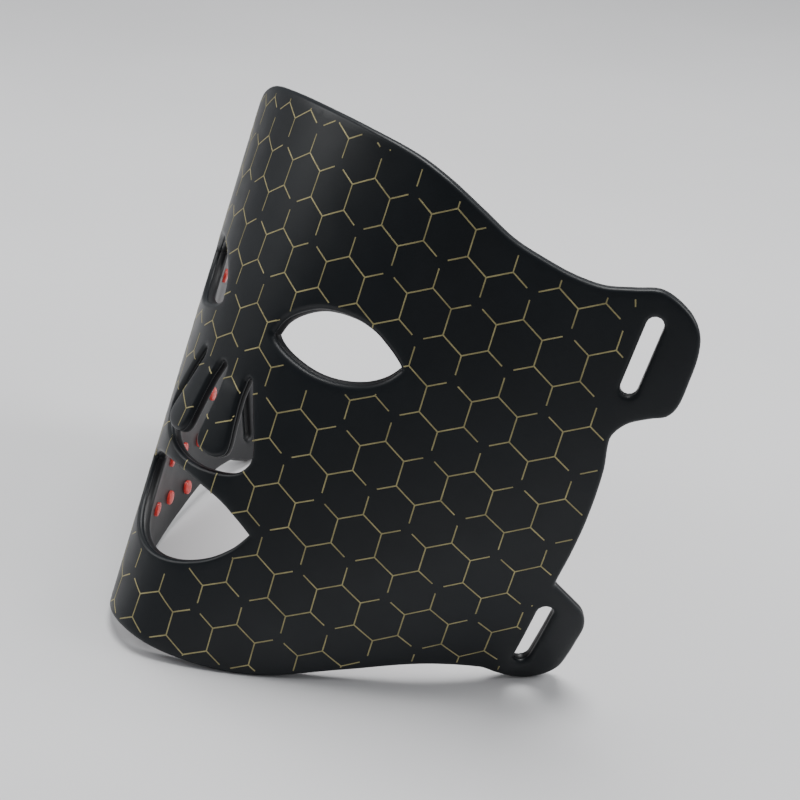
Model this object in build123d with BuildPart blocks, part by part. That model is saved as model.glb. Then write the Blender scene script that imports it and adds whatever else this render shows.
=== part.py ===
"""LED face mask: a flexible silicone sheet mask with rows of light diodes between two skins.

The sheet is flat when it is made and is bent to the face without stretching.  It is drawn flat, as
(across, up) in millimetres from the middle of the chin edge, and then rolled on three cones that
share one tip on the centre line below the chin.  Depth runs inward, from the front of the sheet to
the face.  Left and right are the wearer's, so left is +X, and the mask looks toward -Y.
"""

import os
from math import atan2, ceil, cos, degrees, hypot, radians, sin

from build123d import *

# Flat sheet
SHEET_HEIGHT = 220
TIP_BELOW_CHIN = 78.4
ROLL_ZONES = ((0, 14.2, 22.8), (14.2, 30.6, 52.2), (30.6, 64, 37.2))  # fan from, fan to, cone half angle
(_, MIDDLE_END, MIDDLE_HALF_ANGLE), *SIDE_ZONES = ROLL_ZONES
ROLL_PATCHES = [(-end, -start, half_angle) for start, end, half_angle in reversed(SIDE_ZONES)]
ROLL_PATCHES += [(-MIDDLE_END, MIDDLE_END, MIDDLE_HALF_ANGLE), *SIDE_ZONES]
FOLD_FAN = 21.2  # fan angle of the straight line that each wing folds about
FAN_END = 62
SLAB_NEAR = 55
SLAB_FAR = 320

# Resting pose
LEAN = 24
TIP_HEIGHT = -64.66
TIP_FORWARD = -112.12

# Layers, by depth
FRONT_SKIN = 2.2
POCKET_DEPTH = 0.9
SHEET_THICKNESS = 5.6
POCKET_MARGIN = 3
CIRCUIT_MARGIN = 3.8
CIRCUIT_DEPTH = 2.25
CIRCUIT_THICKNESS = 0.25
STIFFENER_THICKNESS = 0.7
LED_WIDTH = 2.8
LED_LENGTH = 3.5
LED_HEIGHT = 0.5
LENS_RADIUS = 3.2
LENS_RISE = 0.8
LENS_SEAT = 0.2
LAYER_GAP = 0.03

# Openings in the sheet
EYE_INNER = (18, 134)
EYE_OUTER = (73.5, 143.5)
EYE_MIDDLE = (45, 141)
MOUTH_CORNER = (40.2, 59.5)
MOUTH_CORNER_ROUND = 1.5
NOSE_ROOT_UP = 115
NOSE_ROOT_HALF_WIDTH = 18.6
NOSE_LOW = 74
NOSE_LOW_CORNER = (26, 79.5)
NOSE_LOW_SLOPE = 0.45
NOSE_SIDE = (29, 93)
FLAP_NEAR = 2.6
FLAP_FAR = 14.4
FLAP_TIP_UP = 81
SLOT_WIDTH = 6.5
SLOT_LENGTH = 31
UPPER_SLOT = (151.8, 181)
LOWER_SLOT = (158, 57)
STIFFENER_INSIDE = 3.7
STIFFENER_OUTSIDE = 5.0
WING_MIDDLE = (120, 70)

# Clearances where the sheet flexes
FOLD_GAP = 0.24  # in degrees of fan
FOLD_MARGIN = 2
FLAP_GAP = 1.0
FLAP_LIFT = 6  # how far the resting flaps tip outward, in degrees

# Diodes
LED_PITCH = 20
LED_ROW_DROP = 0.45  # in pitches
LED_EDGE = 3
FLAP_LED_ACROSS = 10.2
FLAP_LEDS = (106, 97, 88)
CIRCUIT_SPLIT_UP = 100
CIRCUIT_SPLIT_GAP = 1
WING_CIRCUIT = (30, 143)

# Sampling of outlines as they are rolled
EDGE_STEP = 8
ROUND_STEPS = 8
SNAP = 0.05
CUTTER_REACH = 150

# Inlet
INLET_UP = 19
INLET_SIZE = (20, 13, 6.4)
PORT_WIDTH = 9.0
PORT_HEIGHT = 3.3
PORT_DEPTH = 8
PORT_WALL = 0.35
INLET_ROUND = 2.5
INLET_CLEARANCE = 1
TONGUE_SIZE = (6.6, 0.7)
TONGUE_LENGTH = 6


def fan_frame(fan):
    """Along the sheet's straight line, across it and inward, at a fan angle from the centre line."""
    along = Vector(0, sin(radians(LEAN)), cos(radians(LEAN)))
    across = Vector(1, 0, 0)
    inward = Vector(0, cos(radians(LEAN)), -sin(radians(LEAN)))
    for start, end, half_angle in ROLL_ZONES:
        step = min(abs(fan), end) - start
        if step > 0:
            half = radians(half_angle)
            axle = Axis((0, 0, 0), along * cos(half) + inward * sin(half))
            turn = step / sin(half)
            along, across, inward = (w.rotate(axle, turn) for w in (along, across, inward))
    if fan < 0:
        along = Vector(-along.X, along.Y, along.Z)
        across = Vector(across.X, -across.Y, -across.Z)
        inward = Vector(-inward.X, inward.Y, inward.Z)
    return along, across, inward


def on_fan(fan, reach, depth):
    """A point at a fan angle and a distance from the cones' tip."""
    along, _, inward = fan_frame(fan)
    return Vector(0, TIP_FORWARD, TIP_HEIGHT) + along * reach + inward * depth


def fan_of(across, up):
    return degrees(atan2(across, up + TIP_BELOW_CHIN))


def on_sheet(across, up, depth=0):
    return on_fan(fan_of(across, up), hypot(across, up + TIP_BELOW_CHIN), depth)


def sheet_plane(across, up, depth=0):
    """A plane that touches the sheet, with X to the wearer's left, Y down the sheet and Z inward."""
    fan = fan_of(across, up)
    along, side, inward = fan_frame(fan)
    right = side * cos(radians(fan)) + along * sin(radians(fan))
    return Plane(origin=on_sheet(across, up, depth), x_dir=right, z_dir=inward)


def slab(from_fan, to_fan, depth, thickness):
    """The bent sheet between two of its straight lines, one conical patch for each roll zone."""
    tip = on_fan(0, 0, 0)
    for start, end, half_angle in ROLL_PATCHES:
        first, last = max(start, from_fan), min(end, to_fan)
        if first < last:
            along, across, inward = fan_frame(first)
            half = radians(half_angle)
            axle = Axis(tip, along * cos(half) + inward * sin(half))
            with BuildSketch(Plane(origin=tip, x_dir=along, z_dir=across * -1)) as profile:
                with Locations((SLAB_NEAR, depth)):
                    Rectangle(SLAB_FAR - SLAB_NEAR, thickness, align=(Align.MIN, Align.MIN))
            revolve(profile.sketch, axis=axle, revolution_arc=(last - first) / sin(half))


def snapped(place, known):
    """A point, or the known point beside it, so that the ends of neighbouring curves meet."""
    for other in known:
        if abs(place[0] - other[0]) + abs(place[1] - other[1]) < SNAP:
            return other
    known.append(place)
    return place


def draw_rolled(wire, view):
    """Draws a flat outline in the view plane as it lies once the sheet is rolled."""
    known = []
    for edge in wire.edges():
        if edge.length > SNAP:
            count = ROUND_STEPS if edge.is_closed else ceil(edge.length / EDGE_STEP) + 1
            spots = [edge.position_at(step / count) for step in range(count + 1)]
            places = [view.to_local_coords(on_sheet(spot.X, spot.Y)) for spot in spots]
            points = [(place.X, place.Y) for place in places]
            Spline(snapped(points[0], known), *points[1:-1], snapped(points[-1], known))


def trim(flat, view, mode):
    """Cuts the part with a flat outline rolled on the sheet and pushed through along the view."""
    face = flat.face()
    with BuildSketch(view) as shadow:
        for wire in [face.outer_wire()] + list(face.inner_wires()):
            with BuildLine() as loop:
                draw_rolled(wire, view)
            make_face(loop.line, mode=Mode.ADD if wire == face.outer_wire() else Mode.SUBTRACT)
    extrude(shadow.sketch, amount=CUTTER_REACH, both=True, mode=mode)


def slot(centre):
    """The flat outline of one strap slot."""
    with BuildSketch(Plane((centre[0], centre[1], 0))) as outline:
        SlotOverall(SLOT_LENGTH, SLOT_WIDTH, rotation=90)
    return outline.sketch


def band(from_fan, to_fan):
    """The flat wedge between two straight lines of the sheet."""
    reach = SHEET_HEIGHT * 3
    turns = (radians(from_fan), radians(to_fan))
    ends = [(reach * sin(turn), reach * cos(turn) - TIP_BELOW_CHIN) for turn in turns]
    with BuildSketch() as wedge:
        with BuildLine():
            Polyline((0, -TIP_BELOW_CHIN), *ends, close=True)
        make_face()
    return wedge.sketch


def half_outline():
    """The flat outer edge of the wearer's left half."""
    with BuildSketch() as half:
        with BuildLine():
            brow_points = ((0, SHEET_HEIGHT), (48, 218), (80, 208.7), (109, 200.6), (130, 199.4), (150, 206))
            brow = Spline(*brow_points, tangents=((1, 0), (1, 0)))
            ear_top = Spline(brow @ 1, (163.5, 201), (170, 189), tangents=((1, 0), (0, -1)))
            ear_side = Line(ear_top @ 1, (170.6, 170))
            ear_low_points = (ear_side @ 1, (163.4, 161), (155, 154), (152.7, 148))
            ear_low = Spline(*ear_low_points, tangents=((0, -1), (0, -1)))
            side = Spline(ear_low @ 1, (157, 115), (156.4, 83.5), tangents=((0.1, -1), (-0.1, -1)))
            jaw_top = Spline(side @ 1, (164, 79), (175.6, 66), tangents=((1, -0.8), (0, -1)))
            jaw_side = Line(jaw_top @ 1, (175.8, 46))
            jaw_low_points = (jaw_side @ 1, (170.5, 36.5), (158, 32), (143.5, 34.9))
            jaw_low = Spline(*jaw_low_points, tangents=((0, -1), (-1, 0)))
            chin_points = (jaw_low @ 1, (120.7, 30.8), (92, 19.1), (60.8, 5.6), (30, 0.3), (0, 0))
            chin = Spline(*chin_points, tangents=((-1, 0), (-1, 0)))
            Line(chin @ 1, brow @ 0)
        make_face()
    return half.sketch


def eye():
    """The flat almond of the wearer's left eye opening."""
    with BuildSketch() as outline:
        with BuildLine():
            lid_points = (EYE_INNER, (26.6, 147.2), (48.5, 154.4), (66, 149.5), EYE_OUTER)
            lid = Spline(*lid_points, tangents=((0, 1), (1, -1.5)))
            Spline(lid @ 1, (62, 131.8), (41, 127.4), EYE_INNER, tangents=((-0.6, -1), (-0.6, 1)))
        make_face()
    return outline.sketch


def mouth():
    """The flat mouth opening, nearly straight above and round below."""
    left_corner = (-MOUTH_CORNER[0], MOUTH_CORNER[1])
    with BuildSketch() as outline:
        with BuildLine():
            Spline(left_corner, (-24, 66.6), (0, 68.7), (24, 66.6), MOUTH_CORNER)
            Spline(MOUTH_CORNER, (27, 43), (0, 34), (-27, 43), left_corner)
        make_face()
        fillet(outline.vertices(), radius=MOUTH_CORNER_ROUND)
    return outline.sketch


def nose_opening():
    """The flat nose opening, with both flaps still counted as open."""
    low_x, low_y = NOSE_LOW_CORNER
    side_x, side_y = NOSE_SIDE
    with BuildSketch() as outline:
        with BuildLine():
            low_points = ((-low_x, low_y), (0, NOSE_LOW), (low_x, low_y))
            low = Spline(*low_points, tangents=((1, -NOSE_LOW_SLOPE), (1, NOSE_LOW_SLOPE)))
            turn = Spline(low @ 1, (30.2, 85), NOSE_SIDE, tangents=((1, NOSE_LOW_SLOPE), (-0.3, 1)))
            Line(turn @ 1, (NOSE_ROOT_HALF_WIDTH, NOSE_ROOT_UP))
            Line((NOSE_ROOT_HALF_WIDTH, NOSE_ROOT_UP), (-NOSE_ROOT_HALF_WIDTH, NOSE_ROOT_UP))
            Line((-NOSE_ROOT_HALF_WIDTH, NOSE_ROOT_UP), (-side_x, side_y))
            Spline((-side_x, side_y), (-30.2, 85), low @ 0, tangents=((-0.3, -1), (1, -NOSE_LOW_SLOPE)))
        make_face()
    return outline.sketch


def flap():
    """The flat outline of the wearer's left nose flap, which widens to a round tip."""
    top = NOSE_ROOT_UP - FLAP_GAP
    with BuildSketch() as outline:
        with BuildLine():
            Polyline((4.2, 86), (4.2, 108), (FLAP_NEAR, top), (FLAP_FAR, top), (16.4, 103), (20.6, 87))
            tip_points = ((20.6, 87), (17.3, 81.8), (11.5, FLAP_TIP_UP), (6.2, 82.3), (4.2, 86))
            Spline(*tip_points, tangents=((0.2, -1), (0, 1)))
        make_face()
    return outline.sketch


def resized(flat, amount):
    """A flat outline grown by an amount, or drawn in if the amount is negative."""
    with BuildSketch() as result:
        add(flat)
        offset(amount=amount)
    return result.sketch


def mirrored(flat):
    return mirror(flat, about=Plane.YZ)


def layer(region, depth, thickness, margin=0):
    """One layer of a region of the sheet, drawn in by a margin from every edge of it."""
    slab(*region["fans"], depth, thickness)
    outline = region["outline"]
    trim(resized(outline, -margin) if margin else outline, region["view"], Mode.INTERSECT)
    for opening, view in region["openings"]:
        trim(resized(opening, margin) if margin else opening, view, Mode.SUBTRACT)


def board_area(region):
    """The flat area that a region's circuit covers, used to place its diodes."""
    area = resized(region["outline"], -CIRCUIT_MARGIN) & band(*region["fans"])
    for opening, _ in region["openings"]:
        area = area - resized(opening, CIRCUIT_MARGIN)
    return area


def lamp_spots(area):
    """Staggered diode places, in even rows, that lie well inside a flat circuit."""
    spots = []
    rows = ceil(SHEET_HEIGHT / LED_PITCH)
    for row in range(1, rows + 1):
        for column in range(-rows, rows + 1):
            spot = Vertex(LED_PITCH * (column + row % 2 / 2), LED_PITCH * (row - LED_ROW_DROP), 0)
            inside = any(face.is_inside(spot.center()) for face in area.faces())
            if inside and min(spot.distance_to(edge) for edge in area.edges()) > LED_EDGE:
                spots.append((spot.X, spot.Y))
    return spots


def finish(piece, label):
    piece.part.label = label
    export_step(piece.part, "parts/" + label + ".step")


def finish_pair(piece, name):
    """Writes the left piece and its mirror image."""
    with BuildPart() as twin:
        mirror(piece.part, about=Plane.YZ)
    finish(piece, "left_" + name)
    finish(twin, "right_" + name)


def lifted(piece):
    """A piece of the wearer's left nose flap, tipped outward about the flap's root."""
    root = sheet_plane((FLAP_NEAR + FLAP_FAR) / 2, NOSE_ROOT_UP - FLAP_GAP / 2)
    with BuildPart() as result:
        add(piece.part.rotate(Axis(root.origin, root.x_dir * -1), FLAP_LIFT))
    return result


def front_skin(region):
    """The printed skin on the side away from the face."""
    with BuildPart() as skin:
        layer(region, 0, FRONT_SKIN)
    return skin


def edge_seal(region):
    """The glued rim between the two skins, which leaves a pocket for the circuit."""
    with BuildPart() as pocket:
        layer(region, FRONT_SKIN - LAYER_GAP, POCKET_DEPTH + 2 * LAYER_GAP, POCKET_MARGIN)
    with BuildPart() as seal:
        layer(region, FRONT_SKIN, POCKET_DEPTH)
        add(pocket.part, mode=Mode.SUBTRACT)
    return seal


def back_skin(region):
    """The translucent skin on the wearer's side."""
    base = FRONT_SKIN + POCKET_DEPTH
    with BuildPart() as skin:
        layer(region, base, SHEET_THICKNESS - base)
    return skin


def circuit(region, limit=None):
    """The flexible circuit in the pocket, kept within a flat limit."""
    with BuildPart() as board:
        layer(region, CIRCUIT_DEPTH, CIRCUIT_THICKNESS, CIRCUIT_MARGIN)
        if limit:
            trim(limit, region["view"], Mode.INTERSECT)
    return board


def leds(spots):
    """The diodes of one circuit, each on its own place."""
    base = CIRCUIT_DEPTH + CIRCUIT_THICKNESS + LAYER_GAP
    with BuildPart() as lamps:
        with Locations(*[sheet_plane(*spot, base) for spot in spots]):
            Box(LED_WIDTH, LED_LENGTH, LED_HEIGHT, align=(Align.CENTER, Align.CENTER, Align.MIN))
    return lamps


def lenses(spots):
    """Clear pads on the inner face of the back skin, one over each diode."""
    with BuildPart() as pads:
        with Locations(*[sheet_plane(*spot, SHEET_THICKNESS + LENS_SEAT) for spot in spots]):
            Cylinder(LENS_RADIUS, LENS_RISE, align=(Align.CENTER, Align.CENTER, Align.MIN))
    return pads


def stiffener(centre, region):
    """A thin hard ring in the pocket, round a strap slot."""
    with BuildPart() as hoop:
        slab(*region["fans"], CIRCUIT_DEPTH, STIFFENER_THICKNESS)
        trim(resized(slot(centre), STIFFENER_OUTSIDE), region["view"], Mode.INTERSECT)
        trim(resized(slot(centre), STIFFENER_INSIDE), region["view"], Mode.SUBTRACT)
    return hoop


def inlet_plane(depth):
    return sheet_plane(0, INLET_UP, depth)


def port_opening():
    """The plane of the inlet's mouth, which faces down the sheet."""
    seat = inlet_plane(SHEET_THICKNESS + INLET_SIZE[2] / 2)
    return Plane(origin=seat.origin + seat.y_dir * INLET_SIZE[1] / 2, x_dir=seat.x_dir, z_dir=seat.y_dir)


def inlet_footprint():
    """The flat area round the inlet housing that stays free of diodes."""
    width, length, _ = INLET_SIZE
    with BuildSketch(Plane((0, INLET_UP, 0))) as footprint:
        Rectangle(width + 2 * INLET_CLEARANCE, length + 2 * INLET_CLEARANCE)
    return footprint.sketch


def inlet_housing(region):
    """A soft block on the inner face of the chin, shaped to the sheet, with the power inlet in it."""
    width, length, height = INLET_SIZE
    with BuildPart() as housing:
        with BuildSketch(inlet_plane(SHEET_THICKNESS / 2)):
            RectangleRounded(width, length, INLET_ROUND)
        extrude(amount=height + SHEET_THICKNESS / 2)
        with BuildSketch(port_opening()):
            SlotOverall(PORT_WIDTH, PORT_HEIGHT)
        extrude(amount=-PORT_DEPTH, mode=Mode.SUBTRACT)
    with BuildPart() as sheet:
        slab(*region["fans"], 0, SHEET_THICKNESS + LAYER_GAP)
    with BuildPart() as seated:
        add(housing.part)
        add(sheet.part, mode=Mode.SUBTRACT)
    return seated


def inlet_shell():
    """The thin metal shell that lines the inlet."""
    with BuildPart() as shell:
        with BuildSketch(port_opening()):
            SlotOverall(PORT_WIDTH - LAYER_GAP, PORT_HEIGHT - LAYER_GAP)
            SlotOverall(PORT_WIDTH - 2 * PORT_WALL, PORT_HEIGHT - 2 * PORT_WALL, mode=Mode.SUBTRACT)
        extrude(amount=-PORT_DEPTH)
    return shell


def inlet_tongue():
    """The flat contact tongue on the middle of the inlet's floor."""
    with BuildPart() as tongue:
        with BuildSketch(port_opening().offset(-PORT_DEPTH)):
            Rectangle(*TONGUE_SIZE)
        extrude(amount=TONGUE_LENGTH)
    return tongue


def rectangle(across, up):
    """A flat rectangle between two positions across the sheet and two up it."""
    with BuildSketch(Plane((across[0], up[0], 0))) as limit:
        Rectangle(across[1] - across[0], up[1] - up[0], align=(Align.MIN, Align.MIN))
    return limit.sketch


os.makedirs("parts", exist_ok=True)

left_half = half_outline()
left_eye_view = sheet_plane(*EYE_MIDDLE)
right_eye_view = sheet_plane(-EYE_MIDDLE[0], EYE_MIDDLE[1])
panel = {
    "fans": (FOLD_GAP / 2 - FOLD_FAN, FOLD_FAN - FOLD_GAP / 2),
    "view": sheet_plane(0, SHEET_HEIGHT / 2),
    "outline": (left_half + mirrored(left_half)) & band(-FOLD_FAN - FOLD_MARGIN, FOLD_FAN + FOLD_MARGIN),
}
panel["openings"] = (
    (eye(), left_eye_view),
    (mirrored(eye()), right_eye_view),
    (mouth(), panel["view"]),
    (nose_opening(), panel["view"]),
)
wing = {
    "fans": (FOLD_FAN + FOLD_GAP / 2, FAN_END),
    "view": sheet_plane(*WING_MIDDLE),
    "outline": left_half,
}
wing["openings"] = ((slot(UPPER_SLOT), wing["view"]), (slot(LOWER_SLOT), wing["view"]))
nose_flap = {
    "fans": (0, FOLD_FAN),
    "view": sheet_plane(FLAP_LED_ACROSS, FLAP_LEDS[1]),
    "outline": flap(),
    "openings": (),
}

# Face panel
panel_area = board_area(panel) - inlet_footprint()
panel_width = (-SHEET_HEIGHT / 2, SHEET_HEIGHT / 2)
brow_limit = rectangle(panel_width, (CIRCUIT_SPLIT_UP, SHEET_HEIGHT))
chin_limit = rectangle(panel_width, (0, CIRCUIT_SPLIT_UP - CIRCUIT_SPLIT_GAP))
finish(front_skin(panel), "panel_front_skin")
finish(edge_seal(panel), "panel_edge_seal")
finish(back_skin(panel), "panel_back_skin")
for region_name, limit in (("brow", brow_limit), ("chin", chin_limit)):
    spots = lamp_spots(panel_area & limit)
    finish(circuit(panel, limit), region_name + "_circuit")
    finish(leds(spots), region_name + "_leds")
    finish(lenses(spots), region_name + "_lenses")
finish(inlet_housing(panel), "inlet_housing")
finish(inlet_shell(), "inlet_shell")
finish(inlet_tongue(), "inlet_tongue")

# Side wings and nose flaps
wing_limit = rectangle(WING_CIRCUIT, (0, SHEET_HEIGHT))
wing_spots = lamp_spots(board_area(wing) & wing_limit)
flap_spots = [(FLAP_LED_ACROSS, up) for up in FLAP_LEDS]
for name, region, limit, spots in (
    ("wing", wing, wing_limit, wing_spots),
    ("flap", nose_flap, None, flap_spots),
):
    for layer_name, piece in (
        ("front_skin", front_skin(region)),
        ("edge_seal", edge_seal(region)),
        ("back_skin", back_skin(region)),
        ("circuit", circuit(region, limit)),
        ("leds", leds(spots)),
        ("lenses", lenses(spots)),
    ):
        finish_pair(lifted(piece) if name == "flap" else piece, name + "_" + layer_name)
finish_pair(stiffener(UPPER_SLOT, wing), "upper_slot_stiffener")
finish_pair(stiffener(LOWER_SLOT, wing), "lower_slot_stiffener")
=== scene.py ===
"""LED face mask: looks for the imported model, in metres, in the model's own frame.

The sheet is drawn flat, as (across, up) in millimetres from the middle of the chin edge, and rolled
on three cones that share one tip below the chin, as in the model.  Left is the wearer's left, +X.
"""

from math import atan2, ceil, cos, degrees, hypot, inf, pi, radians, sin

import bmesh
import bpy
import numpy as np
from mathutils import Matrix, Vector
from mathutils.geometry import delaunay_2d_cdt


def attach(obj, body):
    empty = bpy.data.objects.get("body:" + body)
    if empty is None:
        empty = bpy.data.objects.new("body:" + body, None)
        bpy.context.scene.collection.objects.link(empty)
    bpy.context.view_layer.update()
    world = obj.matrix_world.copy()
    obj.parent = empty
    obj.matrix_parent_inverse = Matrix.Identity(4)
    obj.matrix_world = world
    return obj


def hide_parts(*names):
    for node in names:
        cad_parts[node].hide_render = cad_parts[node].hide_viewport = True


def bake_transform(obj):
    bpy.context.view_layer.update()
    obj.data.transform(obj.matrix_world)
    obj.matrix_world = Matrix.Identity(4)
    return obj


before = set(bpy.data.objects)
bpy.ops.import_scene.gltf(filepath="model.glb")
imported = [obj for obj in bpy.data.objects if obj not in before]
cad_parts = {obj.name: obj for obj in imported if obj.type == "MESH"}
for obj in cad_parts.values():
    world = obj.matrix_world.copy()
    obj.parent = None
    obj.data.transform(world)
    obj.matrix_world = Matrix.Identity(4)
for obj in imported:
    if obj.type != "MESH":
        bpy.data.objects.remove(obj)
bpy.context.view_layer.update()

# Lengths below are in mm and angles in degrees, except the camera's place, which is in metres
MM = 0.001

# The rolled sheet: each zone is a fan angle to start at, one to end at, and its cone's half angle.
# TIP is where the cones meet.
TIP_BELOW_CHIN = 78.4
ROLL_ZONES = ((0, 14.2, 22.8), (14.2, 30.6, 52.2), (30.6, 64, 37.2))
LEAN = 24
TIP = Vector((0, -112.12, -64.66))
FAN_TABLE_STEP = 0.25

# The straight line that each wing folds about
FOLD_FAN = 21.2
FOLD_REACH = 200
FOLD_SOFTNESS = 8

# Thickness and edges
THICKNESS = 5.6
SKIN_JOINT = 2.25
POCKET_FLOOR = 3.1
POCKET_RIM = 2.4
FRONT_ROUND = 1.7
BACK_ROUND = 1.4
JOINT_CHAMFER = 0.12
EYE_TAPER = 1.7

# Heights on the centre line
CHIN_UP = 0
MOUTH_LOW_UP = 34
MOUTH_TOP_UP = 68.7
NOSE_LOW_UP = 74
NOSE_ROOT_UP = 115
SHEET_TOP = 220

# Nose flaps
FLAP_MIDDLE = 8.5
FLAP_ROOT_UP = 114.5
FLAP_SEAM_UP = 113
FLAP_SEAM = ((2.8, FLAP_SEAM_UP), (14.9, FLAP_SEAM_UP))
FLAP_BEND = 6
FLAP_LIFT = 6

# Corners of the openings, and strap slots
MOUTH_CORNER = (40.2, 59.5)
EYE_INNER = (18, 134.4)
EYE_OUTER = (73.5, 143.5)
UPPER_SLOT = (151.8, 181)
LOWER_SLOT = (158, 57)
SLOT_HALF_WIDTH = 3.25
SLOT_HALF_RUN = 12.25

# Meshing
EDGE_STEP = 1.5
GRID_STEP = 2.5
GRID_ROW = 0.866
GRID_CLEARANCE = 0.45
ROUND_STEPS = 5
SHARPEST_CUT = 0.4
SHARPEST_TURN = 0.6
FILL_TOLERANCE = 1e-5
WELD_DISTANCE = 2e-6
CENTRE_TOLERANCE = 1e-5

# Printed honeycomb: its rows and columns are counted from a lattice point at PRINT_CENTRE.
# PRINT_GAP is the share of a line that is left out at a missing vertex.
CELL_EDGE = 10.0
PRINT_CENTRE = (72.6, 186)
PRINT_TURN = 3.53
PRINT_ROWS = range(-3, 14)
PRINT_COLUMNS = range(-15, 8)
PRINT_GAP = 0.25
PRINT_STEPS = 14
PRINT_WIDTH = 0.56
PRINT_TOP_SHARE = 0.7
PRINT_HEIGHT = 0.05
PRINT_SINK = 0.03
EAR_STROKE = ((141.6, 200.4), (144.4, 193.4))

# How far the print stays from the edges, and where on the outline each limit holds
PRINT_BROW_MARGIN = 3.4
PRINT_SIDE_MARGIN = 2.4
PRINT_LID_MARGIN = 3.1
PRINT_HOLE_MARGIN = 0.5
PRINT_SLOT_MARGIN = 3.05
PRINT_EAR_LIMIT = 142.8
EAR_UP = 185
WAIST_UP = (88, 150)
OPENINGS_REACH = 45
OPENINGS_UP = (25, 190)
LIP_BELOW_CORNER = 2

# Lens domes: the profile is a share of the radius and a share of the rise
DOME_RADIUS = 3.1
DOME_RISE = 1.0
DOME_SINK = 0.4
DOME_SEGMENTS = 24
DOME_PROFILE = ((1.0, 0.0), (1.0, 0.35), (0.94, 0.55), (0.8, 0.75), (0.55, 0.92), (0.28, 0.99))

# Camera
CAMERA_PLACE = Vector((0.51892, -0.34173, 0.39762))
CAMERA_AZIMUTH = 52.746
CAMERA_ELEVATION = 26.397
CAMERA_ROLL = 3.52
CAMERA_LENS = 77.62
SENSOR_WIDTH = 36


# Geometry of the rolled sheet


def fan_frame(fan):
    """Along the sheet's straight line, across it and inward, at a fan angle in degrees."""
    lean = radians(LEAN)
    along = Vector((0, sin(lean), cos(lean)))
    across = Vector((1, 0, 0))
    inward = Vector((0, cos(lean), -sin(lean)))
    for start, end, half_angle in ROLL_ZONES:
        step = radians(min(fan, end) - start)
        if step > 0:
            half = radians(half_angle)
            turn = Matrix.Rotation(step / sin(half), 3, along * cos(half) + inward * sin(half))
            along, across, inward = turn @ along, turn @ across, turn @ inward
    return along, across, inward


FAN_TABLE_LENGTH = int(ROLL_ZONES[-1][1] / FAN_TABLE_STEP) + 2
FAN_TABLE = [fan_frame(FAN_TABLE_STEP * index) for index in range(FAN_TABLE_LENGTH)]


def quick_frame(fan):
    """fan_frame between the entries of a table worked out once."""
    place = min(abs(fan) / FAN_TABLE_STEP, FAN_TABLE_LENGTH - 2)
    index = int(place)
    share = place - index
    low, high = FAN_TABLE[index], FAN_TABLE[index + 1]
    along, across, inward = (a.lerp(b, share).normalized() for a, b in zip(low, high))
    if fan < 0:
        along = Vector((-along.x, along.y, along.z))
        across = Vector((across.x, -across.y, -across.z))
        inward = Vector((-inward.x, inward.y, inward.z))
    return along, across, inward


def on_sheet(across, up, depth=0.0):
    """A point of the rolled sheet, in metres, and the inward normal there."""
    height = up + TIP_BELOW_CHIN
    along, _, inward = quick_frame(degrees(atan2(across, height)))
    return (TIP + along * hypot(across, height) + inward * depth) * MM, inward


flap_turn = atan2(FLAP_MIDDLE, FLAP_ROOT_UP + TIP_BELOW_CHIN)
flap_along, flap_across, _ = fan_frame(degrees(flap_turn))
FLAP_ROOT, _ = on_sheet(FLAP_MIDDLE, FLAP_ROOT_UP)
FLAP_AXIS = -(flap_across * cos(flap_turn) + flap_along * sin(flap_turn))


def mirror_point(point):
    """The point on the other side of the centre plane."""
    return Vector((-point.x, point.y, point.z))


def on_flap(across, up, depth=0.0):
    """A point of a nose flap, which bends outward just below its seam, and the inward normal there."""
    if across < 0:
        return tuple(mirror_point(vector) for vector in on_flap(-across, up, depth))
    point, inward = on_sheet(across, up, depth)
    share = min(1, max(0, (FLAP_SEAM_UP - up) / FLAP_BEND))
    turn = Matrix.Rotation(radians(FLAP_LIFT) * share**2 * (3 - 2 * share), 3, FLAP_AXIS)
    return FLAP_ROOT + turn @ (point - FLAP_ROOT), turn @ inward


# Flat outlines


def through(points):
    """A smooth curve through the points, whose first and last only steer it."""
    path = []
    for index in range(1, len(points) - 2):
        before, start, end, after = (Vector(points[index + offset]) for offset in (-1, 0, 1, 2))
        run = (end - start).length
        leave = (end - before) * (run / ((end - start).length + (start - before).length))
        arrive = (after - start) * (run / ((after - end).length + (end - start).length))
        count = max(1, ceil(run / EDGE_STEP))
        for number in range(count):
            t = number / count
            spot = start * (2 * t**3 - 3 * t**2 + 1) + leave * (t**3 - 2 * t**2 + t)
            path.append(spot + end * (3 * t**2 - 2 * t**3) + arrive * (t**3 - t**2))
    return path


def straight(start, end, step=EDGE_STEP):
    """Evenly spaced points from the start up to, but not with, the end."""
    start, end = Vector(start), Vector(end)
    count = max(1, ceil((end - start).length / step))
    return [start.lerp(end, number / count) for number in range(count)]


def cut(start, end):
    """A stretch of outline where two pieces meet, so it gets no rounded edge."""
    return [(spot, True) for spot in straight(start, end, GRID_STEP)]


def edge(path):
    """A stretch of outline that gets a rounded edge."""
    return [(spot, False) for spot in path]


def corner(centre, radius, start, end):
    """A round corner between two angles in degrees."""
    count = max(2, ceil(abs(radians(end - start)) * radius / EDGE_STEP))
    turns = [radians(start + (end - start) * number / count) for number in range(count)]
    return [Vector((centre[0] + radius * cos(turn), centre[1] + radius * sin(turn))) for turn in turns]


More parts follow.
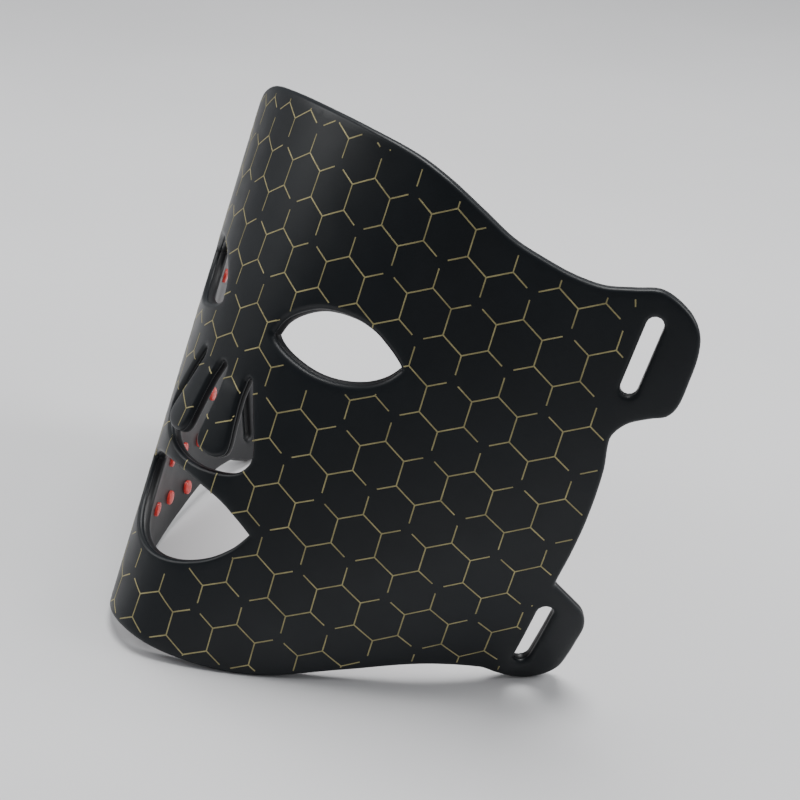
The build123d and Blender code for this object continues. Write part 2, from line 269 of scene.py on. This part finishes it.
# Stretches of the left half's outline, anticlockwise from the chin, and then of its openings.
# The first and last points of each only steer its curve.
CHIN_LINE = (
    (-30, 0.3),
    (0, CHIN_UP),
    (30, 0.3),
    (60.8, 5.6),
    (92, 19.1),
    (120.7, 30.8),
    (143.5, 34.9),
    (152, 33),
)
JAW_TAB = (
    (120.7, 30.8),
    (143.5, 34.9),
    (151, 33.3),
    (158.3, 32),
    (165.8, 32.9),
    (172, 36.6),
    (175.2, 41.5),
    (175.9, 48),
    (175.9, 58),
    (175.6, 66),
    (173, 71.8),
    (167, 76.4),
    (161, 80.3),
    (156.4, 83.5),
    (153, 88),
)
SIDE_LINE = (
    (157.6, 79),
    (156.4, 83.5),
    (157, 99),
    (157, 115),
    (155.4, 135),
    (152.7, 148),
    (154, 155),
)
EAR_TAB = (
    (155.4, 135),
    (152.7, 148),
    (156, 155.2),
    (163, 160.2),
    (168.4, 163.2),
    (170.7, 168.2),
    (170.8, 179),
    (170, 189),
    (167.4, 196.4),
    (161, 202.4),
    (150, 206),
    (140, 203.2),
)
BROW_LINE = (
    (161, 202.4),
    (150, 206),
    (140, 203),
    (130, 199.9),
    (119, 199.5),
    (109, 200.6),
    (94, 203.4),
    (80, 208.7),
    (64, 214.4),
    (48, 218),
    (24, 219.6),
    (0, SHEET_TOP),
    (-24, 219.6),
)
NOSE_SIDE = (
    (18.2, 113.6),
    (19.3, 112),
    (24.2, 102.4),
    (29, 92.6),
    (30.3, 85.6),
    (26, 79.5),
    (14, 75.4),
    (0, NOSE_LOW_UP),
    (-14, 75.4),
)
MOUTH_TOP = (
    (-24, 66.6),
    (0, MOUTH_TOP_UP),
    (12, 68.3),
    (24, 66.6),
    (33, 63.2),
    MOUTH_CORNER,
    (44, 57),
)
MOUTH_LOW = (
    (42, 64),
    MOUTH_CORNER,
    (35.2, 51),
    (27, 43),
    (14, 36.4),
    (0, MOUTH_LOW_UP),
    (-14, 36.4),
)
EYE_TOP = (
    (17, 131),
    EYE_INNER,
    (20.4, 141),
    (26.6, 147.2),
    (36, 152.4),
    (48.5, 154.4),
    (58, 153),
    (66, 149.2),
    (71.5, 145.6),
    EYE_OUTER,
    (74.6, 142),
)
EYE_LOW = (
    (73.8, 146),
    EYE_OUTER,
    (69, 137),
    (62, 131.8),
    (52, 128.3),
    (41, 127.4),
    (29, 129.2),
    (21.4, 131.8),
    EYE_INNER,
    (17.6, 136),
)
SLOT_TOP_INNER = (
    (-1.4, 114.8),
    (0, NOSE_ROOT_UP),
    (1.5, 114.6),
    (2.4, 113.9),
    FLAP_SEAM[0],
    (3, 112),
)
SLOT_TOP_OUTER = (
    (15, 112),
    FLAP_SEAM[1],
    (15.3, 114.3),
    (16.4, NOSE_ROOT_UP),
    (17.6, 114.6),
    (19.3, 112),
    (22, 107),
)
FLAP_SIDE = (
    (2.6, 114),
    FLAP_SEAM[0],
    (3.5, 110),
    (4.2, 103),
    (4.2, 92),
    (4.3, 86),
    (6, 82.6),
    (11.2, 81),
    (17, 81.8),
    (20.3, 84.4),
    (20.6, 88),
    (18.4, 96),
    (16.4, 103.4),
    (15.1, 110),
    FLAP_SEAM[1],
    (15, 114),
)


def half_loop():
    """The edge of the wearer's left half, with the half openings on the centre line."""
    loop = edge(through(CHIN_LINE))
    loop += edge(through(JAW_TAB))
    loop += edge(through(SIDE_LINE))
    loop += edge(through(EAR_TAB))
    loop += edge(through(BROW_LINE))
    loop += cut((0, SHEET_TOP), (0, NOSE_ROOT_UP))
    loop += edge(through(SLOT_TOP_INNER))
    loop += cut(*FLAP_SEAM)
    loop += edge(through(SLOT_TOP_OUTER))
    loop += edge(through(NOSE_SIDE))
    loop += cut((0, NOSE_LOW_UP), (0, MOUTH_TOP_UP))
    loop += edge(through(MOUTH_TOP))
    loop += edge(through(MOUTH_LOW))
    loop += cut((0, MOUTH_LOW_UP), (0, CHIN_UP))
    return loop


def eye_loop():
    """The edge of the wearer's left eye opening."""
    return edge(through(EYE_TOP)) + edge(through(EYE_LOW))


def slot_loop(centre):
    """A strap slot, taken clockwise."""
    x, y = centre
    loop = straight((x - SLOT_HALF_WIDTH, y - SLOT_HALF_RUN), (x - SLOT_HALF_WIDTH, y + SLOT_HALF_RUN))
    loop += corner((x, y + SLOT_HALF_RUN), SLOT_HALF_WIDTH, 180, 0)
    loop += straight((x + SLOT_HALF_WIDTH, y + SLOT_HALF_RUN), (x + SLOT_HALF_WIDTH, y - SLOT_HALF_RUN))
    loop += corner((x, y - SLOT_HALF_RUN), SLOT_HALF_WIDTH, 0, -180)
    return edge(loop)


def flap_loop():
    """The edge of the wearer's left nose flap."""
    return cut(*FLAP_SEAM[::-1]) + edge(through(FLAP_SIDE))


def inset(loop, amount):
    """The loop's points moved into the material, and along the cut where a cut begins or ends."""
    places = []
    for index, (spot, is_cut) in enumerate(loop):
        before, was_cut = loop[index - 1]
        after = loop[(index + 1) % len(loop)][0]
        came, goes = (spot - before).normalized(), (after - spot).normalized()
        side_in, side_out = Vector((-came.y, came.x)), Vector((-goes.y, goes.x))
        if is_cut and was_cut:
            move = Vector((0, 0))
        elif is_cut:
            move = goes / max(SHARPEST_CUT, goes.dot(side_in))
        elif was_cut:
            move = -came / max(SHARPEST_CUT, -came.dot(side_out))
        else:
            middle = (side_in + side_out).normalized()
            move = middle / max(SHARPEST_TURN, middle.dot(side_in))
        places.append(spot + move * amount)
    return places


def inside(points, loops):
    """Which points lie in the material bounded by the loops."""
    points = np.asarray(points, float)
    result = np.zeros(len(points), bool)
    for loop in loops:
        ring = np.array([tuple(spot) for spot in loop])
        for (x0, y0), (x1, y1) in zip(ring, np.roll(ring, -1, 0)):
            if y0 != y1:
                crosses = (points[:, 1] > y0) != (points[:, 1] > y1)
                reach = x0 + (points[:, 1] - y0) * (x1 - x0) / (y1 - y0)
                result ^= crosses & (points[:, 0] < reach)
    return result


def edge_distance(points, loop):
    """How far each point lies from a loop's uncut edge."""
    ring = np.array([tuple(spot) for spot, is_cut in loop if not is_cut])
    points = np.asarray(points, float)
    return np.hypot(points[:, None, 0] - ring[None, :, 0], points[:, None, 1] - ring[None, :, 1]).min(1)


# Mesh building


def rounding(radius):
    """(inset, depth) pairs from the flat face round to the wall."""
    turns = [pi / 2 * step / ROUND_STEPS for step in range(ROUND_STEPS + 1)]
    return [(radius * (1 - sin(turn)), radius * (1 - cos(turn))) for turn in turns]


def fill(rings):
    """Triangles over the flat area inside the rings, with a grid of points within."""
    spots = [spot for ring in rings for spot in ring]
    low = [min(spot[axis] for spot in spots) for axis in (0, 1)]
    high = [max(spot[axis] for spot in spots) for axis in (0, 1)]
    rows = int((high[1] - low[1]) / (GRID_STEP * GRID_ROW))
    columns = int((high[0] - low[0]) / GRID_STEP) + 1
    grid = [
        (low[0] + GRID_STEP * (column + row % 2 / 2), low[1] + GRID_STEP * GRID_ROW * row)
        for row in range(rows + 1)
        for column in range(columns)
    ]
    near = np.array([tuple(spot) for spot in spots])
    grid = np.array(grid)
    clear = np.hypot(grid[:, None, 0] - near[None, :, 0], grid[:, None, 1] - near[None, :, 1]).min(1)
    grid = grid[inside(grid, rings) & (clear > GRID_STEP * GRID_CLEARANCE)]
    edges, count = [], 0
    for ring in rings:
        edges += [(count + index, count + (index + 1) % len(ring)) for index in range(len(ring))]
        count += len(ring)
    points = [Vector(spot) for spot in spots] + [Vector(spot) for spot in grid]
    found, _, faces, *_ = delaunay_2d_cdt(points, edges, [], 0, FILL_TOLERANCE)
    middles = [sum((found[index] for index in face), Vector((0, 0))) / len(face) for face in faces]
    keep = inside([tuple(middle) for middle in middles], rings)
    return found, [face for face, kept in zip(faces, keep) if kept]


def sheet_mesh(name, loops, profile, shape):
    """A layer of the sheet: its front face, its edges along the profile and its back face.

    Each loop comes with a taper, by which its opening narrows from the front to the back.
    """
    mesh = bmesh.new()

    def ring(loop, taper, amount, depth):
        return inset(loop, amount - taper * depth / THICKNESS)

    def face_at(amount, depth, toward_front):
        found, faces = fill([ring(loop, taper, amount, depth) for loop, taper in loops])
        corners = [mesh.verts.new(shape(spot.x, spot.y, depth)[0]) for spot in found]
        for face in faces:
            order = face if toward_front else face[::-1]
            mesh.faces.new([corners[index] for index in order])

    face_at(*profile[0], True)
    face_at(*profile[-1], False)
    for loop, taper in loops:
        rows = [
            [mesh.verts.new(shape(spot.x, spot.y, depth)[0]) for spot in ring(loop, taper, amount, depth)]
            for amount, depth in profile
        ]
        for upper, lower in zip(rows, rows[1:]):
            for index, (_, is_cut) in enumerate(loop):
                after = (index + 1) % len(loop)
                if not is_cut:
                    mesh.faces.new((upper[index], lower[index], lower[after], upper[after]))
    bmesh.ops.remove_doubles(mesh, verts=mesh.verts, dist=WELD_DISTANCE)
    data = bpy.data.meshes.new(name)
    mesh.to_mesh(data)
    mesh.free()
    return data


def mirror_mesh(data, name):
    """The mesh of the other side."""
    twin = data.copy()
    twin.name = name
    twin.transform(Matrix.Scale(-1, 4, (1, 0, 0)))
    twin.flip_normals()
    return twin


def steady_normals(data):
    """Smooth shading that runs on unbroken across the centre line, where two halves meet."""
    data.shade_smooth()
    normals = [vertex.normal.copy() for vertex in data.vertices]
    for vertex, normal in zip(data.vertices, normals):
        if abs(vertex.co.x) < CENTRE_TOLERANCE:
            normal.x = 0
            normal.normalize()
    data.normals_split_custom_set_from_vertices(normals)


def piece(name, data, material):
    """An object with one material, in a material slot of its mesh."""
    result = bpy.data.objects.new(name, data)
    bpy.context.scene.collection.objects.link(result)
    data.materials.append(material)
    return result


# Materials

# The stretch of a noise value that is spread over a range, and where a colour ramp starts and ends
SPREAD_FROM = (0.3, 0.7)
RAMP_STOPS = (0.35, 0.65)

# Each surface wanders between the two colours of its pair
BLACK = ((0.0028, 0.0046, 0.0066), (0.004, 0.0064, 0.009))
SOFT_BLACK = ((0.007, 0.0075, 0.009), (0.011, 0.0115, 0.013))
DARK_GREY = ((0.014, 0.015, 0.018), (0.02, 0.021, 0.024))
DULL_GOLD = ((0.27, 0.235, 0.105), (0.4, 0.35, 0.16))
# Painted glow: the red light of the lit diodes, painted on the clear lens pads
PAINTED_DIODE_GLOW_RED = ((0.38, 0.055, 0.05), (0.5, 0.09, 0.08))
AMBER = ((0.3, 0.13, 0.02), (0.4, 0.19, 0.04))
CREAM = ((0.85, 0.8, 0.7), (0.95, 0.9, 0.8))
STEEL = ((0.5, 0.5, 0.52), (0.62, 0.62, 0.64))
STIFFENER_GREY = ((0.02, 0.02, 0.022), (0.03, 0.03, 0.032))
TONGUE_GREY = ((0.02, 0.02, 0.02), (0.03, 0.03, 0.03))
FLOOR_GREY = ((0.70, 0.70, 0.71), (0.74, 0.74, 0.75))


def new_material(name, roughness):
    """A material of a plain roughness, its node tree and its shader."""
    material = bpy.data.materials.new(name)
    material.use_nodes = True
    shader = material.node_tree.nodes["Principled BSDF"]
    shader.inputs["Roughness"].default_value = roughness
    return material, material.node_tree, shader


def noise(tree, scale, detail=4.0):
    """A noise value in the object's own space."""
    place = tree.nodes.new("ShaderNodeTexCoord")
    texture = tree.nodes.new("ShaderNodeTexNoise")
    texture.inputs["Scale"].default_value = scale
    texture.inputs["Detail"].default_value = detail
    tree.links.new(place.outputs["Object"], texture.inputs["Vector"])
    return texture.outputs["Fac"]


def spread(tree, value, low, high):
    """Maps a noise value onto a range."""
    node = tree.nodes.new("ShaderNodeMapRange")
    node.inputs["From Min"].default_value = SPREAD_FROM[0]
    node.inputs["From Max"].default_value = SPREAD_FROM[1]
    node.inputs["To Min"].default_value = low
    node.inputs["To Max"].default_value = high
    tree.links.new(value, node.inputs["Value"])
    return node.outputs["Result"]


def shade_between(tree, shader, value, colours):
    """A base colour that wanders between two colours."""
    ramp = tree.nodes.new("ShaderNodeValToRGB")
    for stop, position, colour in zip(ramp.color_ramp.elements, RAMP_STOPS, colours):
        stop.position = position
        stop.color = (*colour, 1)
    tree.links.new(value, ramp.inputs["Fac"])
    tree.links.new(ramp.outputs["Color"], shader.inputs["Base Color"])


def roughen(tree, shader, value, strength, distance):
    """A fine bump, with its distance in metres."""
    bump = tree.nodes.new("ShaderNodeBump")
    bump.inputs["Strength"].default_value = strength
    bump.inputs["Distance"].default_value = distance
    tree.links.new(value, bump.inputs["Height"])
    tree.links.new(bump.outputs["Normal"], shader.inputs["Normal"])


def silicone(name, colours, roughness):
    """Satin silicone: a fine moulded grain, faint cloudiness and an uneven sheen."""
    material, tree, shader = new_material(name, roughness)
    shader.inputs["Specular IOR Level"].default_value = 0.3
    shade_between(tree, shader, noise(tree, scale=22, detail=6), colours)
    sheen = spread(tree, noise(tree, scale=60), low=roughness - 0.05, high=roughness + 0.06)
    tree.links.new(sheen, shader.inputs["Roughness"])
    roughen(tree, shader, noise(tree, scale=1900, detail=2), strength=0.12, distance=0.0002)
    return material


def gold_print():
    """Dull gold ink, a little uneven."""
    material, tree, shader = new_material("dull_gold_print", 0.5)
    shader.inputs["Metallic"].default_value = 0.3
    shade_between(tree, shader, noise(tree, scale=160), DULL_GOLD)
    return material


def clear_pad_with_painted_glow():
    """Clear silicone with painted glow: the red light of the lit diode below it is painted in as a red base
    colour and a faint red emission.
    """
    material, tree, shader = new_material("clear_lens_painted_glow", 0.18)
    shader.inputs["Alpha"].default_value = 0.85
    # Painted glow: a faint red emission in place of the lit diode's light
    shader.inputs["Emission Color"].default_value = (1, 0.02, 0.01, 1)
    shader.inputs["Emission Strength"].default_value = 0.18
    shade_between(tree, shader, noise(tree, scale=400), PAINTED_DIODE_GLOW_RED)
    roughen(tree, shader, noise(tree, scale=900), strength=0.1, distance=0.0002)
    return material


def plain_finish(name, colours, roughness, metallic=0.0):
    """A hard surface with a faint mottle and grain."""
    material, tree, shader = new_material(name, roughness)
    shader.inputs["Metallic"].default_value = metallic
    shade_between(tree, shader, noise(tree, scale=125), colours)
    roughen(tree, shader, noise(tree, scale=500), strength=0.1, distance=0.0001)
    return material


black_silicone = silicone("front_silicone", BLACK, roughness=0.4)
inner_silicone = silicone("back_silicone", SOFT_BLACK, roughness=0.42)
print_ink = gold_print()
lens_painted_glow = clear_pad_with_painted_glow()
NODE_FINISHES = {
    "circuit": plain_finish("amber_film", AMBER, roughness=0.35),
    "leds": plain_finish("led_package", CREAM, roughness=0.3),
    "stiffener": plain_finish("stiff_plastic", STIFFENER_GREY, roughness=0.5),
    "housing": silicone("housing_silicone", DARK_GREY, roughness=0.4),
    "shell": plain_finish("plated_steel", STEEL, roughness=0.3, metallic=1.0),
    "tongue": plain_finish("tongue_plastic", TONGUE_GREY, roughness=0.45),
}


# Skins

fold_along, fold_across, _ = fan_frame(FOLD_FAN)
fold_point = (TIP + fold_along * FOLD_REACH) * MM
flap_bend_start, _ = on_flap(FLAP_MIDDLE, FLAP_SEAM_UP)
flap_bend_end, _ = on_flap(FLAP_MIDDLE, FLAP_SEAM_UP - FLAP_BEND)


def bend_with(result, region, side):
    """Works out the two ends of the bend of a left or right piece, from the face panel to its wing or flap,
    and bakes the piece's transform into its mesh.
    """
    reach = fold_across * FOLD_SOFTNESS * MM
    ends = (fold_point - reach, fold_point + reach) if region == "wing" else (flap_bend_start, flap_bend_end)
    if side == "right":
        ends = tuple(mirror_point(end) for end in ends)
    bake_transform(result)


def add_pair(name, data, material, region, nodes):
    """A left piece and its mirror image, each of which hides the model nodes of its side that it replaces.
    """
    for side, mesh in (("left", data), ("right", mirror_mesh(data, "right_" + name))):
        steady_normals(mesh)
        result = piece(side + "_" + name, mesh, material)
        names = [node.replace("SIDE", side) for node in nodes]
        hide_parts(*names)
        bend_with(result, region, side)


def front_profile():
    """(inset, depth) pairs of the front skin, from its face to the joint with the back skin."""
    return rounding(FRONT_ROUND) + [(0, SKIN_JOINT - JOINT_CHAMFER), (JOINT_CHAMFER, SKIN_JOINT)]


def back_profile():
    """(inset, depth) pairs of the back skin, from the pocket's floor over its rim to the inner face."""
    rim = [(POCKET_RIM, POCKET_FLOOR), (POCKET_RIM, SKIN_JOINT)]
    joint = [(JOINT_CHAMFER, SKIN_JOINT), (0, SKIN_JOINT + JOINT_CHAMFER)]
    outer = [(amount, THICKNESS - depth) for amount, depth in reversed(rounding(BACK_ROUND))]
    return rim + joint + outer


def add_skins(region, name, loops, shape, panel_nodes):
    """The front and back skins of both halves or both flaps.

    The panel nodes are those of the middle panel that the front skins and the back skins replace too.
    """
    front_panel, back_panel = panel_nodes
    front = sheet_mesh("left_" + name + "_front", loops, front_profile(), shape)
    front_nodes = ["SIDE_" + region + "_front_skin"] + front_panel
    add_pair(name + "_front", front, black_silicone, region, front_nodes)
    back = sheet_mesh("left_" + name + "_back", loops, back_profile(), shape)
    back_nodes = ["SIDE_" + region + "_back_skin", "SIDE_" + region + "_edge_seal"] + back_panel
    add_pair(name + "_back", back, inner_silicone, region, back_nodes)


half_edge, eye_edge, flap_edge = half_loop(), eye_loop(), flap_loop()
half_loops = [half_edge, eye_edge, slot_loop(UPPER_SLOT), slot_loop(LOWER_SLOT)]
half_tapers = [(loop, EYE_TAPER if loop is eye_edge else 0) for loop in half_loops]
half_panel = (["panel_front_skin"], ["panel_back_skin", "panel_edge_seal"])
add_skins("wing", "half", half_tapers, on_sheet, half_panel)
add_skins("flap", "flap", [(flap_edge, 0)], on_flap, ([], []))


# Printed honeycomb


def lattice_point(x, y):
    """A point of the honeycomb, with x in cell widths and y in cell edges downward, on the flat sheet."""
    u, v = x * CELL_EDGE * 3**0.5, -y * CELL_EDGE
    turn = radians(PRINT_TURN)
    return Vector(
        (
            PRINT_CENTRE[0] + u * cos(turn) - v * sin(turn),
            PRINT_CENTRE[1] + u * sin(turn) + v * cos(turn),
        )
    )


def honeycomb():
    """Every printed line as a start and an end, short of the vertices that are left out."""
    lines = [tuple(Vector(end) for end in EAR_STROKE)]
    for row in PRINT_ROWS:
        for column in PRINT_COLUMNS:
            top = Vector((column + row % 2 / 2, 1.5 * row))
            top_missing = row % 2 == 0 and column % 2 == 0
            for step in ((0, 1), (-0.5, -0.5), (0.5, -0.5)):
                end = top + Vector(step)
                end_row = row if step[1] > 0 else row - 1
                end_missing = end_row % 2 == 0 and round(end.x) % 2 == 1
                start_share = PRINT_GAP if top_missing else 0
                end_share = 1 - PRINT_GAP if end_missing else 1
                ends = (top.lerp(end, start_share), top.lerp(end, end_share))
                lines.append(tuple(lattice_point(*place) for place in ends))
    return lines


def is_outer(spot):
    """Whether a point of the half outline is on the outer edge, not on the nose or mouth."""
    return spot.x > OPENINGS_REACH or not OPENINGS_UP[0] <= spot.y <= OPENINGS_UP[1]


def is_side(spot):
    """Whether a point of the half outline is on the outer edge below the brow."""
    return is_outer(spot) and spot.y < EAR_UP


def is_lip(spot):
    """Whether a point of the half outline is on the lower edge of the mouth."""
    return not is_outer(spot) and spot.y < MOUTH_CORNER[1] - LIP_BELOW_CORNER


def print_limit(up):
    """How far across the print may run before a strap tab begins."""
    if up > EAR_UP:
        return PRINT_EAR_LIMIT
    if WAIST_UP[0] <= up <= WAIST_UP[1]:
        return inf
    slot = UPPER_SLOT if up > WAIST_UP[1] else LOWER_SLOT
    return slot[0] - SLOT_HALF_WIDTH - PRINT_SLOT_MARGIN


def folded(spots):
    """The flat points brought over to the left half."""
    return [(abs(spot.x), spot.y) for spot in spots]


def print_area(spots):
    """The area of the print that each flat point lies in: half, flap or none."""
    places = folded(spots)
    brow = [item for item in half_edge if is_outer(item[0]) and not is_side(item[0])]
    side = [item for item in half_edge if is_side(item[0])]
    lids = edge(through(EYE_LOW[1:])) + [item for item in half_edge if is_lip(item[0])]
    margins = [(loop, PRINT_HOLE_MARGIN) for loop in half_loops]
    margins += [(brow, PRINT_BROW_MARGIN), (lids, PRINT_LID_MARGIN), (side, PRINT_SIDE_MARGIN)]
    on_half = inside(places, [[spot for spot, _ in loop] for loop in half_loops])
    for outline, margin in margins:
        on_half &= edge_distance(places, outline) > margin
    on_half &= np.array([across < print_limit(up) for across, up in places])
    on_nose = inside(places, [[spot for spot, _ in flap_edge]])
    on_nose &= edge_distance(places, flap_edge) > PRINT_HOLE_MARGIN
    return ["flap" if nose else "half" if face else None for nose, face in zip(on_nose, on_half)]


def rounded_depth(spots):
    """How far the rounded edge lies below the flat front at each point."""
    near = np.min([edge_distance(folded(spots), loop) for loop in half_loops + [flap_edge]], axis=0)
    short = np.clip(FRONT_ROUND - near, 0, FRONT_ROUND)
    return FRONT_ROUND - np.sqrt(FRONT_ROUND**2 - short**2)


def print_ribbon(mesh, run, shape):
    """One raised line of ink along a run of flat points and their depths."""
    along = (run[-1][0] - run[0][0]).normalized()
    side = Vector((-along.y, along.x)) * PRINT_WIDTH / 2
    top = (PRINT_TOP_SHARE, -PRINT_HEIGHT), (-PRINT_TOP_SHARE, -PRINT_HEIGHT)
    section = ((1, PRINT_SINK), *top, (-1, PRINT_SINK))
    rows = []
    for spot, depth in run:
        places = [(spot + side * share, depth + rise) for share, rise in section]
        rows.append([mesh.verts.new(shape(place.x, place.y, level)[0]) for place, level in places])
    for first, second in zip(rows, rows[1:]):
        for index in range(len(section)):
            after = (index + 1) % len(section)
            mesh.faces.new((first[index], second[index], second[after], first[after]))
    mesh.faces.new(rows[0])
    mesh.faces.new(rows[-1][::-1])


def line_spots(start, end):
    """Points along a printed line, with one on the centre line if it crosses it."""
    shares = [step / PRINT_STEPS for step in range(PRINT_STEPS + 1)]
    if start.x * end.x < 0:
        shares.append(start.x / (start.x - end.x))
    return [start.lerp(end, share) for share in sorted(shares)]


def owned_runs(places, owners):
    """A line's points, split into runs that each lie on one half or one flap."""
    runs = []
    for first, second, owner in zip(places, places[1:], owners):
        if runs and runs[-1][0] == owner:
            runs[-1][1].append(second)
        else:
            runs.append((owner, [first, second]))
    return runs


def add_print():
    """The honeycomb, shared out to the two halves and the two flaps."""
    paths = [line_spots(start, end) for start, end in honeycomb()]
    middles = [(a + b) / 2 for path in paths for a, b in zip(path, path[1:])]
    sides = ["left" if middle.x >= 0 else "right" for middle in middles]
    owners = iter(list(zip(sides, print_area(middles))))
    depths = iter(rounded_depth([spot for path in paths for spot in path]))
    meshes = {}
    for path in paths:
        places = [(spot, next(depths)) for spot in path]
        line_owners = [next(owners) for _ in path[1:]]
        for owner, run in owned_runs(places, line_owners):
            if owner[1] is None:
                continue
            if owner not in meshes:
                meshes[owner] = bmesh.new()
            print_ribbon(meshes[owner], run, on_flap if owner[1] == "flap" else on_sheet)
    for (side, area), mesh in meshes.items():
        data = bpy.data.meshes.new(side + "_" + area + "_print")
        mesh.to_mesh(data)
        mesh.free()
        result = piece(data.name, data, print_ink)
        bend_with(result, "wing" if area == "half" else "flap", side)


add_print()


# Lens domes


def islands(data):
    """The separate bodies of a mesh, each as an array of points."""
    mesh = bmesh.new()
    mesh.from_mesh(data)
    left = set(mesh.verts)
    groups = []
    for start in mesh.verts:
        if start not in left:
            continue
        left.remove(start)
        stack, group = [start], []
        while stack:
            vertex = stack.pop()
            group.append(tuple(vertex.co))
            for link in vertex.link_edges:
                other = link.other_vert(vertex)
                if other in left:
                    left.remove(other)
                    stack.append(other)
        groups.append(np.array(group))
    mesh.free()
    return groups


def dome(mesh, points):
    """A soft round pad where a plain model pad stands."""
    centre = (points.max(0) + points.min(0)) / 2
    axis = Vector(np.linalg.svd(points - points.mean(0), full_matrices=False)[2][2])
    if axis.y < 0:
        axis = -axis
    base = Vector(centre) - axis * DOME_SINK * MM
    turn = axis.to_track_quat("Z", "Y")
    rings = []
    for radius, rise in DOME_PROFILE:
        ring = []
        for index in range(DOME_SEGMENTS):
            angle = 2 * pi * index / DOME_SEGMENTS
            reach = radius * DOME_RADIUS
            spot = Vector((cos(angle) * reach, sin(angle) * reach, rise * DOME_RISE))
            ring.append(mesh.verts.new(base + turn @ (spot * MM)))
        rings.append(ring)
    for lower, upper in zip(rings, rings[1:]):
        for index in range(DOME_SEGMENTS):
            after = (index + 1) % DOME_SEGMENTS
            mesh.faces.new((lower[index], lower[after], upper[after], upper[index]))
    mesh.faces.new(rings[-1])


LENS_BODIES = {
    "brow_lenses": "face_panel",
    "chin_lenses": "face_panel",
    "left_wing_lenses": "left_wing",
    "right_wing_lenses": "right_wing",
    "left_flap_lenses": "left_nose_flap",
    "right_flap_lenses": "right_nose_flap",
}


def add_domes(node_name, body):
    """The domes of one node of lens pads, which they replace, on the node's own body."""
    pads = bmesh.new()
    for points in islands(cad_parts[node_name].data):
        dome(pads, points)
    data = bpy.data.meshes.new(node_name + "_domes")
    pads.to_mesh(data)
    pads.free()
    data.shade_smooth()
    domes = piece(data.name, data, lens_painted_glow)
    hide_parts(node_name)
    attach(domes, body)


for lens_node, lens_body in LENS_BODIES.items():
    add_domes(lens_node, lens_body)


# Finishes of the model nodes that are shown as they are


def finish_nodes():
    """Gives each shown model node the finish whose word its name holds."""
    for node_name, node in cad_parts.items():
        for word, finish in NODE_FINISHES.items():
            if word in node_name and not node_name.endswith(("skin", "seal", "lenses")):
                node.data.materials.clear()
                node.data.materials.append(finish)


finish_nodes()


# Stage, light and camera


def add_floor():
    """A plain pale floor, 8 m square, which the mask stands on."""
    bpy.ops.mesh.primitive_plane_add(size=8, location=(0, 0, 0))
    floor = bpy.context.object
    floor.name = "floor"
    material, tree, shader = new_material("pale_floor", 0.6)
    shade_between(tree, shader, noise(tree, scale=3), FLOOR_GREY)
    floor.data.materials.append(material)


def add_light(name, place, aim, size, power):
    """A rectangular lamp at a place, facing the point that it aims at."""
    data = bpy.data.lights.new(name, "AREA")
    data.shape = "RECTANGLE"
    data.size, data.size_y = size
    data.energy = power
    lamp = bpy.data.objects.new(name, data)
    lamp.location = place
    lamp.rotation_euler = (Vector(aim) - Vector(place)).to_track_quat("-Z", "Y").to_euler()
    bpy.context.scene.collection.objects.link(lamp)


def add_camera():
    """The camera, in front of the wearer's left side and rolled a little."""
    azimuth, elevation = radians(CAMERA_AZIMUTH), radians(CAMERA_ELEVATION)
    back = Vector((sin(azimuth) * cos(elevation), -cos(azimuth) * cos(elevation), sin(elevation)))
    right = Vector((cos(azimuth), sin(azimuth), 0))
    turn = Matrix.Rotation(radians(-CAMERA_ROLL), 3, -back)
    right = turn @ right
    up = back.cross(right)
    camera = bpy.data.objects.new("camera", bpy.data.cameras.new("camera"))
    camera.matrix_world = Matrix.Translation(CAMERA_PLACE) @ Matrix((right, up, back)).transposed().to_4x4()
    camera.data.lens = CAMERA_LENS
    camera.data.sensor_width = SENSOR_WIDTH
    bpy.context.scene.collection.objects.link(camera)
    bpy.context.scene.camera = camera


def add_world():
    """Soft, even light from all around."""
    world = bpy.data.worlds.new("soft_world")
    world.use_nodes = True
    background = world.node_tree.nodes["Background"]
    background.inputs["Color"].default_value = (0.9, 0.92, 0.95, 1)
    background.inputs["Strength"].default_value = 0.3
    bpy.context.scene.world = world


add_floor()
add_light("key", place=(-0.25, 0.35, 1.5), aim=(0, 0, 0.1), size=(0.9, 0.7), power=26)
add_light("rim", place=(0.75, 0.95, 0.9), aim=(0, 0, 0.12), size=(0.5, 0.9), power=12)
add_light("fill", place=(-0.9, -0.7, 0.8), aim=(0, 0, 0.1), size=(0.6, 0.6), power=6)
add_world()
add_camera()
